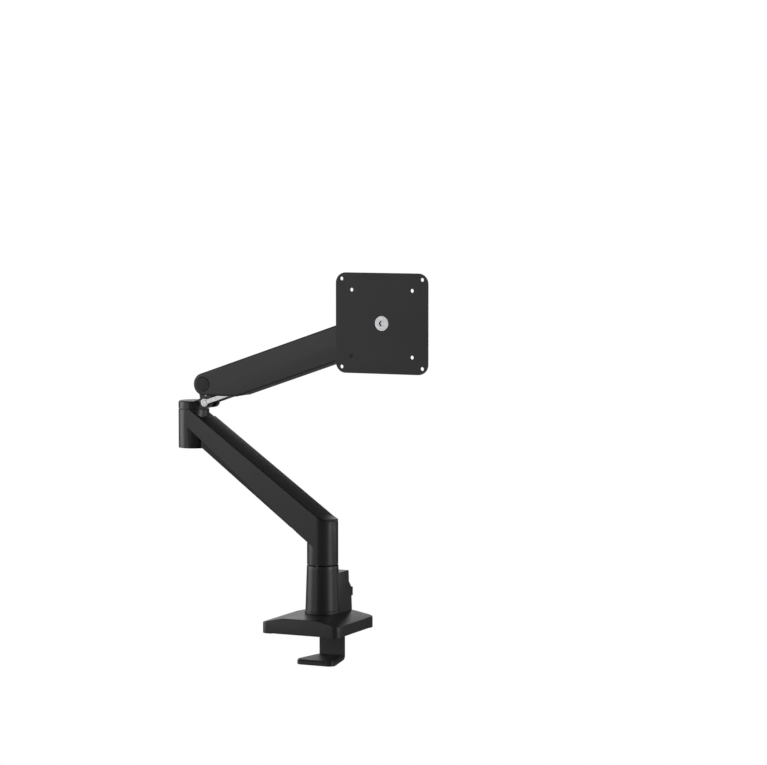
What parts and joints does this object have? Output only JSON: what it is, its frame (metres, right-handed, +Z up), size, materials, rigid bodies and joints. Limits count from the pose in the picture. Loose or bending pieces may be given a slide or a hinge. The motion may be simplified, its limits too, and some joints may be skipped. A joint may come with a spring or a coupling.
{
  "type": "monitor arm",
  "caption": "Desk-clamp monitor arm with a swivelling diagonal riser, a gas-sprung parallel lift link and a tilting, panning, rotating square screen mount.",
  "frame": {"origin": "on the post's axis, on the rubber pad's lower face, where the base rests on the desk", "axes": "+Z up along the post; +X along the spring link at rest, towards the screen mount's side; -Y towards the user, the way the screen faces"},
  "size_m": [0.3488, 0.1053, 0.4599],
  "materials": {
    "black_casting": "fine satin black powder coat on die-cast aluminium",
    "black_shell": "fine satin black powder coat on cast aluminium shell",
    "black_plastic": "fine-textured black moulding",
    "black_plate": "satin black powder coat on steel plate",
    "rubber": "matt black rubber",
    "steel": "plain zinc-plated steel",
    "chrome_rod": "hard-chromed piston rod",
    "strut_paint": "gloss black paint",
    "bearing_plastic": "self-lubricating bearing plastic"
  },
  "bodies": {
    "base": {"base_casting": "black_casting", "base_pad": "rubber", "reinforcing_plate": "steel", "base_screws": "steel", "housing_screws": "steel", "post_core": "black_casting", "post_shell": "black_shell", "swivel_spindle": "steel", "spindle_washer": "steel", "spindle_nut": "steel", "stop_pin": "steel", "rear_housing": "black_shell", "thrust_washer": "steel", "swivel_washer": "bearing_plastic"},
    "clamp_bracket": {"clamp_bracket": "black_plate", "foot_pad": "rubber", "clamp_nut": "steel", "nut_pins": "steel"},
    "clamp_screw": {"clamp_screw": "steel"},
    "latch": {"latch_bar": "black_plastic"},
    "riser": {"riser_casting": "black_casting", "riser_top_cover": "black_shell", "cover_screws": "steel", "riser_cable_cover": "black_plastic", "swivel_bushes": "bearing_plastic", "elbow_bushes": "bearing_plastic", "elbow_washer": "bearing_plastic"},
    "elbow": {"elbow_knuckle": "black_casting", "elbow_retainer": "steel", "elbow_screw": "steel", "elbow_pivot_pin": "steel", "strut_pin": "steel", "elbow_tie_pins": "steel"},
    "link": {"link_beam": "black_shell", "link_bottom_cover": "black_plastic", "pivot_bushes": "bearing_plastic", "pivot_caps": "black_plastic"},
    "tie": {"tie_bars": "steel"},
    "strut_rod": {"strut_rod": "chrome_rod", "rod_eye": "steel"},
    "tension_carriage": {"tension_carriage": "steel", "strut_cylinder": "strut_paint"},
    "tension_screw": {"tension_screw": "steel"},
    "end_knuckle": {"end_knuckle": "black_casting", "pan_bushes": "bearing_plastic", "pan_washer": "bearing_plastic", "head_pivot_pin": "steel", "head_tie_pins": "steel"},
    "pan_yoke": {"pan_yoke": "black_casting", "pan_retainer": "steel", "pan_screw": "steel", "tilt_bolt": "steel", "tilt_nut": "steel"},
    "tilt_block": {"tilt_block": "black_casting", "tilt_washers": "bearing_plastic", "rotate_nut": "steel", "rotate_bolt": "steel"},
    "mount_plate": {"vesa_plate": "black_plate", "rotate_washer": "bearing_plastic"}
  },
  "joints": [
    {"name": "riser_swivel", "type": "hinge", "parent": "base", "child": "riser", "pos_m": [0, 0, 0.076], "axis": [0, 0, 1], "range_deg": [-90, 180]},
    {"name": "elbow_swivel", "type": "hinge", "parent": "riser", "child": "elbow", "pos_m": [-0.17, 0, 0.252], "axis": [0, 0, 1], "range_deg": [-170, 170]},
    {"name": "arm_lift", "type": "hinge", "parent": "elbow", "child": "link", "pos_m": [-0.148, 0, 0.283], "axis": [0, -1, 0], "range_deg": [-49, 21]},
    {"name": "tie_bar_swing", "type": "hinge", "parent": "elbow", "child": "tie", "pos_m": [-0.148, 0, 0.261], "axis": [0, -1, 0], "range_deg": [-50, 22]},
    {"name": "head_level", "type": "hinge", "parent": "link", "child": "end_knuckle", "pos_m": [0.06947, 0, 0.35788], "axis": [0, -1, 0], "range_deg": [-22, 50]},
    {"name": "strut_stroke", "type": "slide", "parent": "link", "child": "strut_rod", "axis": [0.9455, 0, 0.3256], "range_m": [-0.00434, 0.00986]},
    {"name": "tension_adjust", "type": "slide", "parent": "link", "child": "tension_carriage", "axis": [0.9455, 0, 0.3256], "range_m": [-0.006, 0.006]},
    {"name": "tension_screw_turn", "type": "hinge", "parent": "link", "child": "tension_screw", "pos_m": [0.02031, 0, 0.34709], "axis": [0.9455, 0, 0.3256], "range_deg": [-2710, 2710]},
    {"name": "head_pan", "type": "hinge", "parent": "end_knuckle", "child": "pan_yoke", "pos_m": [0.10347, 0, 0.35148], "axis": [0, 0, 1], "range_deg": [-10, 190]},
    {"name": "head_tilt", "type": "hinge", "parent": "pan_yoke", "child": "tilt_block", "pos_m": [0.10347, -0.034, 0.36248], "axis": [-1, 0, 0], "range_deg": [-20, 70]},
    {"name": "screen_rotate", "type": "hinge", "parent": "tilt_block", "child": "mount_plate", "pos_m": [0.10347, -0.06, 0.36248], "axis": [0, 1, 0], "range_deg": [-90, 90]},
    {"name": "clamp_travel", "type": "slide", "parent": "base", "child": "clamp_bracket", "axis": [0, 0, 1], "range_m": [-0.0075, 0.019]},
    {"name": "clamp_screw_turn", "type": "hinge", "parent": "base", "child": "clamp_screw", "pos_m": [0, 0.0204, 0.0424], "axis": [0, 0, 1], "range_deg": [-3385, 8560]},
    {"name": "latch_press", "type": "slide", "parent": "base", "child": "latch", "axis": [0, -1, 0], "range_m": [0, 0.0014], "stiffness_N_per_m": 600}
  ],
  "couplings": [
    {"joint": "tie_bar_swing", "follows": "arm_lift", "ratio": 1},
    {"joint": "head_level", "follows": "arm_lift", "ratio": -1},
    {"joint": "strut_stroke", "follows": "arm_lift", "m_per_rad": -0.0113},
    {"joint": "tension_screw_turn", "follows": "tension_adjust", "rad_per_m": 7854},
    {"joint": "clamp_screw_turn", "follows": "clamp_travel", "rad_per_m": 7854}
  ]
}
